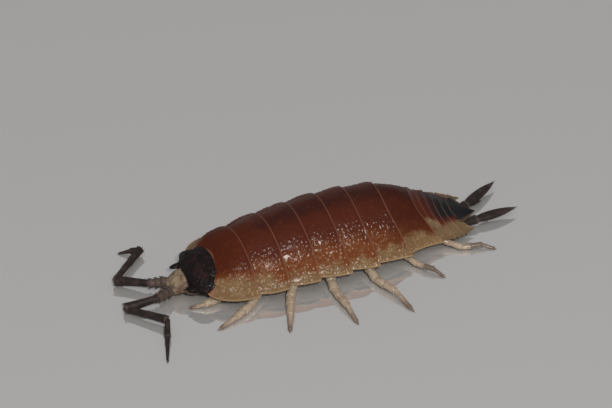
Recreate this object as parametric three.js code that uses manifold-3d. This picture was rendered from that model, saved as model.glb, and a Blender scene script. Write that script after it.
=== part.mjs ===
// A woodlouse of the Porcellio kind, standing on its fourteen legs, at life size in millimetres.
// +X runs from the head to the tail, -Y is the animal's left side, +Z is up, and the floor is at z = 0.
// The shell is worked out along the back: a place on it is m, the distance along the ridge of the back,
// and a, the share of the half width, from -1 at the left edge to 1 at the right edge.

import * as THREE from "three";
import { mergeVertices } from "three/addons/utils/BufferGeometryUtils.js";
import Module from "manifold-3d";

const wasm = await Module();
wasm.setup();

// Driving dimensions of the trunk
const GAP = 0.12; // air between neighbouring pieces: thin cuts, because a whole plate is under 2 mm long
const ROOT_GAP = 0.16; // air between a limb's root and the belly
const HEAD_HIND = -7.55; // where the head's hind margin meets the first plate, on the ridge
const TRUNK_LENGTHS = [1.67, 1.84, 1.76, 1.7, 1.6, 1.79, 1.92]; // exposed lengths of the seven trunk plates
const TRUNK_HALF_WIDTHS = [3.14, 3.36, 3.48, 3.54, 3.52, 3.28, 2.5]; // at each plate's hind corners
const TRUNK_SETBACKS = [0.02, 0.08, 0.3, 0.62, 0.84, 1.22, 1.58]; // how far the corners lie behind the ridge
const TRUNK_EDGES = [0.54, 0.66, 0.68, 0.67, 0.65, 0.6, 0.46]; // height of the lower edge over the floor
const ARCH_FULLNESS = 0.8; // below 1 the arch of the back is fuller than a cosine
const TRUNK_RIDGES = [2.84, 3.08, 3.26, 3.38, 3.42, 3.28, 2.5]; // height of the ridge at each hind margin
const FRONT_CORNER = { halfWidth: 1.58, reach: 1.02, ridge: 2.02, edge: 0.68 }; // of the first plate
const CORNER_STEP = 0.26; // each plate starts this far inside the corner of the plate before it
const RIDGE_STEP = 0.07; // and this far below its hind rim
const SETBACK_POWER = 3;
const BEND = { front: 0.0062, rear: 0.0085 }; // the body curves to its left: sideways drift for each mm2

// Driving dimensions of the tail
const TAIL_LENGTH = 0.47; // exposed length of each of the five tail plates, on the ridge
const TAIL_SPANS = [0.7, 0.76, 1, 1, 1]; // share of the half width that each reaches
const TAIL_HALF_WIDTHS = [2.4, 2.4, 2.26, 1.97, 1.52];
const TAIL_SETBACKS = [1.3, 1.12, 0.98, 1.14, 1.36];
const TAIL_EDGES = [0.52, 0.5, 0.38, 0.32, 0.28];
const TAIL_RIDGES = [2.2, 1.95, 1.7, 1.45, 1.2];
const TELSON = { length: 1.58, halfWidth: 1.02, front: 1.12, tip: 0.5, thickness: 0.36 };

// Driving dimensions of the belly
const PLATE_EDGE = 0.18; // thickness of a side plate at its lower edge
const BELLY = { height: 0.86, recess: 1.14, inner: 1.15, outer: 1.75 };

// Sizes of the head
const SKULL = { centre: [-8.3, 0, 1.06], radii: [0.97, 1.76, 0.9] };
const FACE = { centre: [-9.35, 0, 0.82], radii: [0.92, 0.86, 0.46] };
const MOUTH = { centre: [-8.95, 0, 0.52], radii: [0.95, 0.72, 0.3] };
const SIDE_LOBE = { centre: [-8.98, 1.12, 0.96], radii: [0.44, 0.32, 0.13] };
const MIDDLE_LOBE = { centre: [-8.95, 0, 1.12], radii: [0.36, 0.5, 0.16] };
const EYE = { centre: [-8.46, 1.5, 1.42], radii: [0.34, 0.2, 0.27] };

const COLOURS = {
  head: { color: 0x1d1719, roughness: 0.45 },
  eye: { color: 0x0b0a0b, roughness: 0.25 },
  trunk: { color: 0x8a3a1c, roughness: 0.38 },
  tail: { color: 0x3a2f2c, roughness: 0.4 },
  limb: { color: 0xb09a7c, roughness: 0.5 },
  feeler: { color: 0x54423e, roughness: 0.5 },
  gill: { color: 0xd8cdb8, roughness: 0.5 },
};

// Small helpers

const mix = (from, to, share) => from + (to - from) * share;
const clamp01 = (x) => Math.min(1, Math.max(0, x));
const ease = (from, to, x) => {
  const t = clamp01((x - from) / (to - from));
  return t * t * (3 - 2 * t);
};

// Puts a point of the straight body on the body's slight sideways curve.
function place(x, y, z) {
  const bend = x < 0 ? BEND.front : BEND.rear;
  const turn = -2 * bend * x;
  return new THREE.Vector3(x - y * Math.sin(turn), -bend * x * x + y * Math.cos(turn), z);
}

function solidOf(geometry) {
  const bare = new THREE.BufferGeometry();
  bare.setAttribute("position", geometry.getAttribute("position"));
  if (geometry.index) bare.setIndex(geometry.index);
  const merged = mergeVertices(bare, 1e-4);
  return new wasm.Manifold(
    new wasm.Mesh({
      numProp: 3,
      vertProperties: new Float32Array(merged.attributes.position.array),
      triVerts: new Uint32Array(merged.index.array),
    }),
  );
}

function geometryOf(solid) {
  const mesh = solid.getMesh();
  const points = new Float32Array(mesh.numVert * 3);
  for (let i = 0; i < mesh.numVert; i++) {
    const start = i * mesh.numProp;
    points.set(mesh.vertProperties.subarray(start, start + 3), i * 3);
  }
  const geometry = new THREE.BufferGeometry();
  geometry.setAttribute("position", new THREE.BufferAttribute(points, 3));
  geometry.setIndex(new THREE.BufferAttribute(new Uint32Array(mesh.triVerts), 1));
  geometry.computeVertexNormals();
  return geometry;
}

// Joins solids and keeps the largest closed body.
function join(solids) {
  const whole = solids.reduce((sum, next) => sum.add(next));
  return whole.decompose().sort((a, b) => b.volume() - a.volume())[0];
}

// A closed slab between an upper and a lower face, both given as (u, v) => point with u and v from 0 to 1.
function slab(upper, lower, along, across) {
  const points = [];
  for (const face of [upper, lower]) {
    for (let i = 0; i <= along; i++) {
      for (let j = 0; j <= across; j++) points.push(face(i / along, j / across));
    }
  }
  const layer = (along + 1) * (across + 1);
  const at = (i, j, under) => under * layer + i * (across + 1) + j;
  const faces = [];
  const quad = (a, b, c, d) => faces.push(a, b, c, a, c, d);
  for (let i = 0; i < along; i++) {
    for (let j = 0; j < across; j++) {
      quad(at(i, j, 0), at(i + 1, j, 0), at(i + 1, j + 1, 0), at(i, j + 1, 0));
      quad(at(i, j, 1), at(i, j + 1, 1), at(i + 1, j + 1, 1), at(i + 1, j, 1));
    }
    quad(at(i, 0, 0), at(i, 0, 1), at(i + 1, 0, 1), at(i + 1, 0, 0));
    quad(at(i, across, 0), at(i + 1, across, 0), at(i + 1, across, 1), at(i, across, 1));
  }
  for (let j = 0; j < across; j++) {
    quad(at(0, j, 0), at(0, j + 1, 0), at(0, j + 1, 1), at(0, j, 1));
    quad(at(along, j, 0), at(along, j, 1), at(along, j + 1, 1), at(along, j + 1, 0));
  }
  const geometry = new THREE.BufferGeometry().setFromPoints(points);
  geometry.setIndex(faces);
  return solidOf(geometry);
}

// An egg shape: a sphere stretched along the three axes, tilted nose down by tilt degrees.
function egg({ centre, radii }, tilt = 0, grow = 0, rings = 12) {
  const geometry = new THREE.SphereGeometry(1, 2 * rings, rings);
  geometry.rotateX(Math.PI / 2);
  geometry.scale(radii[0] + grow, radii[1] + grow, radii[2] + grow);
  geometry.rotateY((-tilt * Math.PI) / 180);
  const middle = place(...centre);
  geometry.translate(middle.x, middle.y, middle.z);
  return solidOf(geometry);
}

// Lays a shape that stands on its Y axis along the line between two points, its Z axis kept upward.
function lyingAlong(from, to) {
  const along = to.clone().sub(from).normalize();
  const across = new THREE.Vector3(0, 0, 1).cross(along).negate().normalize();
  const turn = new THREE.Matrix4().makeBasis(across, along, across.clone().cross(along));
  return turn.setPosition(from);
}

// One limb article: a tapered, round-ended rod from one joint to the next, swollen at its far end.
function article(from, to, near, far, flatness = 1, sides = 7) {
  const reach = from.distanceTo(to);
  const profile = [
    [0, -near * 0.6],
    [near * 0.8, -near * 0.3],
    [near, near * 0.3],
    [far, reach - far * 0.35],
    [far * 0.7, reach + far * 0.35],
    [0, reach + far * 0.6],
  ].map(([r, h]) => new THREE.Vector2(r, h));
  const geometry = new THREE.LatheGeometry(profile, sides);
  geometry.scale(1, 1, flatness);
  geometry.applyMatrix4(lyingAlong(from, to));
  return solidOf(geometry);
}

// Everything is cut off flat at the floor.
const onFloor = (solid) => solid.trimByPlane([0, 0, 1], 0);

// The shell: one table row for each plate, worked out from the driving dimensions

function trunkRows() {
  let hind = HEAD_HIND;
  return TRUNK_LENGTHS.map((length, i) => {
    hind += length;
    return {
      name: `trunk_plate_${i + 1}`,
      hind,
      halfWidth: TRUNK_HALF_WIDTHS[i],
      setback: TRUNK_SETBACKS[i],
      edge: TRUNK_EDGES[i],
      ridge: TRUNK_RIDGES[i],
      span: 1,
    };
  });
}

function tailRows(start) {
  return TAIL_SPANS.map((span, i) => ({
    name: `tail_plate_${i + 1}`,
    hind: start + (i + 1) * TAIL_LENGTH,
    halfWidth: TAIL_HALF_WIDTHS[i],
    setback: TAIL_SETBACKS[i],
    edge: TAIL_EDGES[i],
    ridge: TAIL_RIDGES[i],
    span,
  }));
}

// The hind margin of a plate: how far back it lies at a distance y from the midline.
const marginOf = (row) => (y) => row.hind + row.setback * Math.abs(y / row.halfWidth) ** SETBACK_POWER;

const archAt = (a) => Math.cos((Math.PI / 2) * Math.min(1, Math.abs(a))) ** ARCH_FULLNESS;

function bellyAt(y, halfWidth, edge, ridge) {
  const side = Math.abs(y);
  const trough = mix(BELLY.height, BELLY.recess, ease(BELLY.inner, BELLY.outer, side));
  const limit = Math.min(trough, mix(edge, ridge, 0.5));
  return mix(limit, edge, ease(0.72, 1, side / halfWidth));
}

// A plate of the shell with the belly under it, from its front margin to its hind margin.
function plate(row, front, along, across) {
  const hind = marginOf(row);
  const at = (u, v, under) => {
    const a = mix(-row.span, row.span, v);
    const widen = row.round ? Math.sqrt(1 - (1 - u) ** 2) : 1 - (1 - u) ** 2;
    const halfWidth = mix(front.halfWidth, row.halfWidth, widen);
    const y = a * halfWidth;
    const x = mix(front.margin(a * front.halfWidth, a), hind(a * row.halfWidth), u);
    const edge = mix(front.edge, row.edge, u);
    const ridge = mix(front.ridge, row.ridge, Math.sin((u * Math.PI) / 2));
    const top = edge + PLATE_EDGE + (ridge - edge - PLATE_EDGE) * archAt(a);
    return place(x, y, under ? Math.min(bellyAt(y, halfWidth, edge, ridge), top - PLATE_EDGE) : top);
  };
  return slab((u, v) => at(u, v, false), (u, v) => at(u, v, true), along, across);
}

const trunk = trunkRows();
const tail = tailRows(trunk.at(-1).hind);

function frontOf(before, step) {
  const margin = marginOf(before);
  return {
    halfWidth: before.halfWidth - step,
    edge: before.edge,
    ridge: before.ridge - RIDGE_STEP,
    margin: (y) => margin(y) + GAP,
  };
}

function firstPlate() {
  const front = {
    halfWidth: FRONT_CORNER.halfWidth,
    edge: FRONT_CORNER.edge,
    ridge: FRONT_CORNER.ridge,
    margin: (y, a) => HEAD_HIND - FRONT_CORNER.reach * Math.abs(a) ** 1.6,
  };
  const body = plate({ ...trunk[0], round: true }, front, 6, 28);
  return join([body.subtract(egg(SKULL, 0, GAP, 12))]);
}

// The third tail plate reaches round the two short ones before it, to the corner of the last trunk plate.
function thirdTailFront() {
  const inner = marginOf(tail[1]);
  const outer = marginOf(trunk.at(-1));
  const front = frontOf(tail[1], 0.04);
  front.margin = (y, a) => mix(inner(y), outer(y), ease(0.8, 0.92, Math.abs(a))) + GAP;
  return front;
}

function telson(grow = 0) {
  const start = tail.at(-1);
  const margin = marginOf(start);
  const at = (u, v, under) => {
    const half = TELSON.halfWidth * (1 - u) ** 1.35 + 0.05 + grow;
    const a = mix(-1, 1, v);
    const y = a * half;
    const x = mix(margin(a * TELSON.halfWidth) + GAP - grow, start.hind + TELSON.length + grow, u);
    const top = mix(TELSON.front, TELSON.tip, u ** 0.8) - 0.16 * a * a * (1 - u);
    return place(x, y, under ? top - mix(TELSON.thickness, 0.2, u) - grow : top + grow);
  };
  return slab((u, v) => at(u, v, false), (u, v) => at(u, v, true), 6, 10);
}

// The head: skull, face, mouthparts and the lobes of its front margin

const mirrored = (shape, side) => ({ ...shape, centre: [shape.centre[0], side * shape.centre[1], shape.centre[2]] });

function head() {
  const lobes = [-1, 1].map((side) => egg(mirrored(SIDE_LOBE, side), 8, 0, 6));
  const whole = join([egg(SKULL), egg(FACE, 22, 0, 8), egg(MOUTH, 0, 0, 8), egg(MIDDLE_LOBE, 10, 0, 6), ...lobes]);
  const sockets = [-1, 1].map((side) => egg(mirrored(EYE, side), 0, 0.03, 8));
  return join([sockets.reduce((left, socket) => left.subtract(socket), whole)]);
}

// Feelers

const FEELERS = {
  left: {
    socket: [-10.15, -0.86, 0.58],
    base: [-10.95, -1.12, 0.52],
    elbow: [-12.86, -1.04, 0.33],
    knee: [-11.06, -2.98, 0.45],
    tip: [-12.1, -5.8, 0.05],
  },
  right: {
    socket: [-10.15, -0.06, 0.6],
    base: [-10.95, 0.24, 0.54],
    elbow: [-12.58, 1.42, 0.38],
    knee: [-10.36, 3.46, 0.4],
    tip: [-11.5, 3.98, 0.05],
  },
};
const ELBOW_GAP = 0.2; // wider than the other cuts, because the two lengths fold back at a sharp angle
const FEELER_RADII = { base: 0.32, fourth: 0.27, fifth: 0.25, flagellum: 0.23, tip: 0.07 };

const vector = (list) => new THREE.Vector3(...list);

// Shortens the stretch between two joints by a clearance at each end.
function between(from, to, startGap, endGap) {
  const along = to.clone().sub(from).normalize();
  return [from.clone().addScaledVector(along, startGap), to.clone().addScaledVector(along, -endGap)];
}

function feeler(side) {
  const at = Object.fromEntries(Object.entries(FEELERS[side]).map(([key, list]) => [key, vector(list)]));
  const r = FEELER_RADII;
  const middle = at.socket.clone().lerp(at.base, 0.5);
  const base = join([article(at.socket, middle, r.base, r.base), article(middle, at.base, r.base * 0.9, r.base)]);
  const fourth = article(...between(at.base, at.elbow, r.base + r.fourth * 0.6 + GAP, 0), r.fourth * 0.9, r.fourth);
  const fifthEnds = between(at.elbow, at.knee, r.fourth + r.fifth * 0.6 + ELBOW_GAP, 0);
  const fifth = article(...fifthEnds, r.fifth * 0.92, r.fifth);
  const [start, end] = between(at.knee, at.tip, r.fifth + r.flagellum * 0.6 + GAP, 0);
  const joint = start.clone().lerp(end, 0.48);
  const flagellum = join([
    article(start, joint, r.flagellum, r.flagellum * 0.95),
    article(joint, end, r.flagellum * 0.85, r.tip),
  ]);
  return { base: base.subtract(egg(FACE, 22, GAP, 12)), fourth, fifth, flagellum };
}

// Legs

const LEG_RADII = [0.28, 0.26, 0.25, 0.24, 0.22, 0.15, 0.08]; // at the joints, from the root to the claw
const LEG_FLATNESS = 0.72; // a leg's height for its width
const LEFT_STANCE = [
  { knee: [-7.9, -2.2, 0.3], wrist: [-8.65, -2.3, 0.25], foot: [-9.5, -2.05] },
  { knee: [-6.34, -3.38, 0.24], wrist: [-7.42, -3.98, 0.24], foot: [-8.65, -4.4] },
  { knee: [-4.02, -3.6, 0.28], wrist: [-4.58, -4.98, 0.3], foot: [-5.06, -6.07] },
  { knee: [-1.93, -3.92, 0.28], wrist: [-1.42, -5.42, 0.28], foot: [-1.32, -6.9] },
  { knee: [0.94, -4.0, 0.28], wrist: [1.68, -5.35, 0.34], foot: [1.96, -7.08] },
  { knee: [3.72, -3.6, 0.26], wrist: [4.38, -4.36, 0.27], foot: [4.81, -5.05] },
  { knee: [6.75, -3.14, 0.2], wrist: [7.85, -3.36, 0.22], foot: [8.57, -3.85] },
];
const RIGHT_STANCE = [
  { knee: [-7.75, 1.7, 0.3], wrist: [-8.0, 1.4, 0.24], foot: [-8.45, 1.15] },
  { knee: [-5.9, 2.75, 0.26], wrist: [-6.4, 2.9, 0.24], foot: [-7.0, 2.85] },
  { knee: [-3.95, 3.35, 0.28], wrist: [-4.3, 3.65, 0.28], foot: [-4.75, 3.9] },
  { knee: [-1.95, 3.6, 0.28], wrist: [-1.8, 3.95, 0.28], foot: [-1.6, 4.4] },
  { knee: [0.95, 3.6, 0.28], wrist: [1.3, 3.95, 0.28], foot: [1.7, 4.3] },
  { knee: [3.6, 3.2, 0.26], wrist: [3.9, 3.5, 0.27], foot: [4.4, 3.8] },
  { knee: [6.1, 1.95, 0.2], wrist: [6.6, 2.1, 0.2], foot: [7.2, 2.1] },
];
const ROOT_SHARE = 0.52; // a leg's root lies at this share of the half width

function leg(row, before, stance, side) {
  const m = (row.hind + before) / 2 + 0.35 * row.setback;
  const y = side * ROOT_SHARE * row.halfWidth;
  const under = bellyAt(y, row.halfWidth, row.edge, row.ridge) - ROOT_GAP - LEG_RADII[0] * 0.6;
  const root = place(m, y, under);
  const knee = vector(stance.knee);
  const wrist = vector(stance.wrist);
  const foot = new THREE.Vector3(...stance.foot, 0.04);
  const bend = root.clone().lerp(knee, 0.68).setZ(mix(root.z, knee.z, 0.86));
  const joints = [
    root,
    bend,
    knee,
    knee.clone().lerp(wrist, 0.45),
    wrist,
    wrist.clone().lerp(foot, 0.74),
    foot,
  ];
  const articles = joints.slice(1).map((to, i) => article(joints[i], to, LEG_RADII[i] * 0.86, LEG_RADII[i + 1], LEG_FLATNESS, 6));
  return onFloor(join(articles));
}

// Tail fans and gill covers

const FANS = {
  left: { root: [8.5, -1.36, 0.4], tip: [11.03, -1.27, 0.45], inner: [9.5, -0.95, 0.32] },
  right: { root: [8.5, 0.1, 0.42], tip: [10.92, 1.42, 0.42], inner: [9.55, 0.18, 0.34] },
};
const FAN = { width: 0.29, thickness: 0.25, baseLength: 0.62, baseRadius: 0.34 };

// A lance-shaped blade from its root to its tip.
function blade(root, tip, width, thickness) {
  const reach = root.distanceTo(tip);
  const outline = [
    [0, -0.1],
    [0.62, 0],
    [0.9, reach * 0.2],
    [1, reach * 0.4],
    [0.82, reach * 0.68],
    [0.4, reach * 0.9],
    [0.12, reach],
    [0, reach + 0.02],
  ].map(([share, h]) => new THREE.Vector2(share * width, h));
  const geometry = new THREE.LatheGeometry(outline, 10);
  geometry.scale(1, 1, thickness / width);
  geometry.applyMatrix4(lyingAlong(root, tip));
  return solidOf(geometry);
}

function fan(side) {
  const at = Object.fromEntries(Object.entries(FANS[side]).map(([key, list]) => [key, vector(list)]));
  const along = at.tip.clone().sub(at.root).normalize();
  const end = at.root.clone().addScaledVector(along, FAN.baseLength * 0.5);
  const base = article(at.root.clone().addScaledVector(along, -FAN.baseLength * 0.5), end, FAN.baseRadius * 0.8, FAN.baseRadius);
  const inner = blade(at.root.clone().setZ(at.inner.z), at.inner, 0.25, 0.2);
  const outer = blade(end.clone().addScaledVector(along, -0.1), at.tip, FAN.width, FAN.thickness);
  return join([onFloor(join([base, outer, inner])).subtract(telson(GAP))]);
}

// Five pairs of gill covers lie under the tail like roof tiles, each pair a little behind the one before.
function gillCovers() {
  const covers = [];
  for (let i = 0; i < 5; i++) {
    for (const side of [-1, 1]) {
      const centre = [5.75 + i * 0.4, side * 0.46, 0.42 - i * 0.02];
      covers.push(egg({ centre, radii: [0.5, 0.56 - i * 0.05, 0.13] }, -8, 0, 5));
    }
  }
  return join(covers);
}

// The whole animal

const model = new THREE.Group();

function add(name, solid, look) {
  const material = new THREE.MeshStandardMaterial({ ...COLOURS[look], metalness: 0 });
  const mesh = new THREE.Mesh(geometryOf(solid), material);
  mesh.name = name;
  model.add(mesh);
}

add("head", head(), "head");
for (const [side, sign] of [["left", -1], ["right", 1]]) {
  add(`eye_${side}`, egg(mirrored(EYE, sign), 0, -0.06, 8), "eye");
  for (const [part, solid] of Object.entries(feeler(side))) add(`feeler_${side}_${part}`, onFloor(solid), "feeler");
}

trunk.forEach((row, i) => {
  const solid = i === 0 ? firstPlate() : plate(row, frontOf(trunk[i - 1], CORNER_STEP), 5, 28);
  add(row.name, solid, "trunk");
  const before = i === 0 ? HEAD_HIND : trunk[i - 1].hind;
  add(`leg_left_${i + 1}`, leg(row, before, LEFT_STANCE[i], -1), "limb");
  add(`leg_right_${i + 1}`, leg(row, before, RIGHT_STANCE[i], 1), "limb");
});

tail.forEach((row, i) => {
  const before = i === 0 ? trunk.at(-1) : tail[i - 1];
  const front = i === 2 ? thirdTailFront() : frontOf(before, 0.06);
  add(row.name, plate(row, front, 3, 22), "tail");
});
add("telson", telson(), "tail");
for (const side of ["left", "right"]) add(`tail_fan_${side}`, fan(side), "feeler");
add("gill_covers", gillCovers(), "gill");

// The origin is put on the floor, under the middle of the whole.
const middle = new THREE.Box3().setFromObject(model).getCenter(new THREE.Vector3());
model.position.set(-middle.x, -middle.y, 0);

export default model;
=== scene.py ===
import math
import random

import bpy
from mathutils import Matrix, Vector, noise


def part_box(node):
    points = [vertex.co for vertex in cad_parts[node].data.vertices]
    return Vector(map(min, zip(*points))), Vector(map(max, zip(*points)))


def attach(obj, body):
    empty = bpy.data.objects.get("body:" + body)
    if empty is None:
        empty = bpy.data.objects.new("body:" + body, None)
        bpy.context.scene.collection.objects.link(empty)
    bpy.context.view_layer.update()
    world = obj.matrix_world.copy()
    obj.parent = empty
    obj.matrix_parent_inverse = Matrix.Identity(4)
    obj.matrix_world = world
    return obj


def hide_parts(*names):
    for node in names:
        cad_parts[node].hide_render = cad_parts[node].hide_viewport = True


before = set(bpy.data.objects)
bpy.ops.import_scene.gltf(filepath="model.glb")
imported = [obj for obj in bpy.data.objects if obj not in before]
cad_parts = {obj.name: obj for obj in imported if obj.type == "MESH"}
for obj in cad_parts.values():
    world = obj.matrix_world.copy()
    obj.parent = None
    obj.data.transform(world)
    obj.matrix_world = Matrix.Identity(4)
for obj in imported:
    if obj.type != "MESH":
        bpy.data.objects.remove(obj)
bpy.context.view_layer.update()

MM = 0.001
bpy.ops.object.select_all(action="DESELECT")

# Trunk plates
# The seven plates of the back are thin, glossy shell with fine granules, each tucked under the hind rim of
# the one before. They are red-brown over the back, orange lower down, and cream on the flaring side lobes.

# Places are first given in millimetres as if the body lay straight, and this curves it to its left.
BODY_BEND = {"front": 0.0062, "rear": 0.0085}
EYE_AT = (-8.46, 1.5, 1.42)


def bent(x, y, z):
    bend = BODY_BEND["front"] if x < 0 else BODY_BEND["rear"]
    turn = -2 * bend * x
    return Vector((x - y * math.sin(turn), -bend * x * x + y * math.cos(turn), z))


# The frame's right eye tells how far the straight body's zero lies from the frame's origin.
eye_low, eye_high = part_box("eye_right")
SHIFT = (eye_low + eye_high) / 2 - bent(*EYE_AT) * MM


def place(x, y, z):
    return bent(x, y, z) * MM + SHIFT


def mix(a, b, share):
    return a + (b - a) * share


def ease(a, b, x):
    """0 below a, 1 above b, eased between."""
    t = min(1.0, max(0.0, (x - a) / (b - a)))
    return t * t * (3 - 2 * t)


def bell(x, centre, width):
    """1 at the centre, falling away on both sides."""
    return math.exp(-(((x - centre) / width) ** 2))


# One number for each plate, from the first to the seventh: its length, then sizes at its hind margin
PLATE_LENGTHS = [1.67, 1.84, 1.76, 1.7, 1.6, 1.79, 1.92]
PLATE_HALF_WIDTHS = [3.14, 3.36, 3.48, 3.54, 3.52, 3.28, 2.5]
PLATE_SETBACKS = [0.02, 0.08, 0.3, 0.62, 0.84, 1.22, 1.58]
PLATE_EDGES = [0.54, 0.66, 0.68, 0.67, 0.65, 0.6, 0.46]
PLATE_RIDGES = [2.84, 3.08, 3.26, 3.38, 3.42, 3.28, 2.5]
SETBACK_POWER = 3

HEAD_HIND = -7.55
FRONT_CORNER = {"half_width": 1.58, "ridge": 2.02, "edge": 0.68}
FRONT_REACH = {"left": 1.02, "right": 0.68}
FRONT_POWER = 1.6
CORNER_STEP = 0.26
RIDGE_STEP = 0.07

ARCH_FULLNESS = {"back": 0.8, "flank": 1.12, "from": 0.6}
SHELL_THICKNESS = 0.07
# The length of a plate's tucked part, as a share of a usual plate's 1.7 mm
TUCK_SHARE = 0.16 / 1.7
TUCK_SLOPES = {"ridge": 0.35, "edge": 0.1, "half_width": 0.2}
# A ridge that drops by more than this over one plate falls late, near the hind margin
LATE_FALL = 0.3
CORNER_ROUNDING = {"length": 0.3, "from": 0.84, "to": 1.04}
FLARE = {"height": 0.035, "from": 0.9}
CREASE = {"depth": 0.03, "at": 0.84, "width": 0.06}
DIVE = {"depth": 0.25, "length": 0.12}

RIM = {"height": 0.018, "at": 0.975, "width": 0.018}
SWELL = {"height": 0.06, "spread": 0.9}
GRANULE = {"spacing": 0.16, "height": 0.042, "size": 0.55}
GRANULE_STRETCH = {"along": 1.2, "across": 0.75}
# Where the granules start behind the front margin, and where they end before the hind one
FIELD_START = (0.0, 0.12)
FIELD_END = (0.9, 0.95)
# The granules' height on the ridge, the band where it grows to full, and what it loses at the side edge
RIDGE_GRANULES = 0.25
FLANK_GRANULES = (0.3, 0.6)
EDGE_GRANULES = (0.92, 1.0)
EDGE_LOSS = 0.6
TRUNK_GRID = (44, 200)
SHELL_SMOOTHING = 40


def plate_row(hind, half_width, setback, edge, ridge, span=1.0):
    """One plate's sizes at its hind margin; span is the share of its half width that shows."""

    def margin(y):
        return hind + setback * abs(y / half_width) ** SETBACK_POWER

    return dict(hind=hind, half_width=half_width, margin=margin, edge=edge, ridge=ridge, span=span)


def front_of(before, corner_step, ridge_step):
    """The front of a plate that is tucked under the plate before it."""
    return dict(
        half_width=before["half_width"] - corner_step,
        margin=before["margin"],
        edge=before["edge"],
        ridge=before["ridge"] - ridge_step,
        tucked=True,
    )


def arch(a):
    """Height over the side edge as a share of the ridge's; a is 0 in the middle and 1 at the side."""
    down = ease(ARCH_FULLNESS["from"], 1.0, abs(a))
    fullness = mix(ARCH_FULLNESS["back"], ARCH_FULLNESS["flank"], down)
    return max(0.0, math.cos(math.pi / 2 * min(1.0, abs(a)))) ** fullness


def shell_point(row, front, t, a):
    """A point of a plate: t is 0 at its front margin and 1 at its hind one.

    Across the plate, a is -1 at its left edge and 1 at its right one.
    """
    inside = max(0.0, t)
    widen = 1 - (1 - inside) ** 2
    if row.get("round"):
        widen = math.sqrt(max(0.0, widen))
    half = mix(front["half_width"], row["half_width"], widen)
    corner = ease(CORNER_ROUNDING["from"], CORNER_ROUNDING["to"], abs(a)) ** 2 * row["span"]
    hind_x = row["margin"](a * row["half_width"]) - CORNER_ROUNDING["length"] * corner
    x = mix(front["margin"](a * front["half_width"]), hind_x, t)
    edge = mix(front["edge"], row["edge"], inside) + SHELL_THICKNESS
    rise = math.sin(inside * math.pi / 2)
    if row["ridge"] < front["ridge"] - LATE_FALL:
        rise = 1 - math.cos(inside * math.pi / 2)
    ridge = mix(front["ridge"], row["ridge"], rise)
    if t < 0:
        ridge += t * TUCK_SLOPES["ridge"]
        edge += t * TUCK_SLOPES["edge"]
        half += t * TUCK_SLOPES["half_width"]
    z = edge + (ridge - edge) * arch(a)
    z += FLARE["height"] * ease(FLARE["from"], 1.0, abs(a))
    z -= CREASE["depth"] * bell(abs(a), CREASE["at"], CREASE["width"])
    if row["span"] < 1:
        z -= DIVE["depth"] * ease(row["span"] - DIVE["length"], row["span"], abs(a))
    return place(x, a * half, z)


def grain(spot, spacing):
    """Height of the small round granules, 0 to 1, at a spot in millimetres."""
    along, across = GRANULE_STRETCH["along"], GRANULE_STRETCH["across"]
    drawn = Vector((spot.x * along, spot.y * across, spot.z * across))
    near = noise.voronoi(drawn / spacing)[0][0]
    return max(0.0, 1 - (near / GRANULE["size"]) ** 2)


def select_only(*pieces):
    bpy.ops.object.select_all(action="DESELECT")
    for piece in pieces:
        piece.select_set(True)
    bpy.context.view_layer.objects.active = pieces[0]


def apply_modifier(piece, kind, **settings):
    modifier = piece.modifiers.new(kind.lower(), kind)
    for key, value in settings.items():
        setattr(modifier, key, value)
    select_only(piece)
    bpy.ops.object.modifier_apply(modifier=modifier.name)


def smooth(piece, degrees=180):
    """Smooth shading, except where two faces meet at more than so many degrees."""
    select_only(piece)
    if degrees == 180:
        bpy.ops.object.shade_smooth()
    else:
        bpy.ops.object.shade_smooth_by_angle(angle=math.radians(degrees))


def shell_plate(name, row, front, grid, granules=1.0):
    """A grid laid over the plate, its rim, granules and swell raised, and given its thickness."""
    bpy.ops.mesh.primitive_grid_add(x_subdivisions=grid[0], y_subdivisions=grid[1], size=2)
    piece = bpy.context.object
    piece.name = name
    tuck = TUCK_SHARE if front.get("tucked") else 0.0
    spots = []
    for vertex in piece.data.vertices:
        t = mix(-tuck, 1.0, (vertex.co.x + 1) / 2)
        a = vertex.co.y * row["span"]
        spots.append((t, a))
        vertex.co = shell_point(row, front, t, a)
    piece.data.update()
    normals = [v.normal.copy() for v in piece.data.vertices]
    for vertex, normal, (t, a) in zip(piece.data.vertices, normals, spots):
        field = ease(*FIELD_START, t) * (1 - ease(*FIELD_END, t))
        flank = ease(*FLANK_GRANULES, abs(a)) * (1 - EDGE_LOSS * ease(*EDGE_GRANULES, abs(a)))
        share = mix(RIDGE_GRANULES, 1.0, flank) * granules
        bumps = grain(vertex.co / MM, GRANULE["spacing"]) * field * share
        swell = SWELL["height"] * noise.noise(vertex.co / MM * SWELL["spread"]) * field
        rim = RIM["height"] * bell(t, RIM["at"], RIM["width"])
        vertex.co += normal * (rim + GRANULE["height"] * bumps + swell) * MM
    apply_modifier(piece, "SOLIDIFY", thickness=SHELL_THICKNESS * MM, offset=-1.0)
    smooth(piece, SHELL_SMOOTHING)
    return piece


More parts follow.
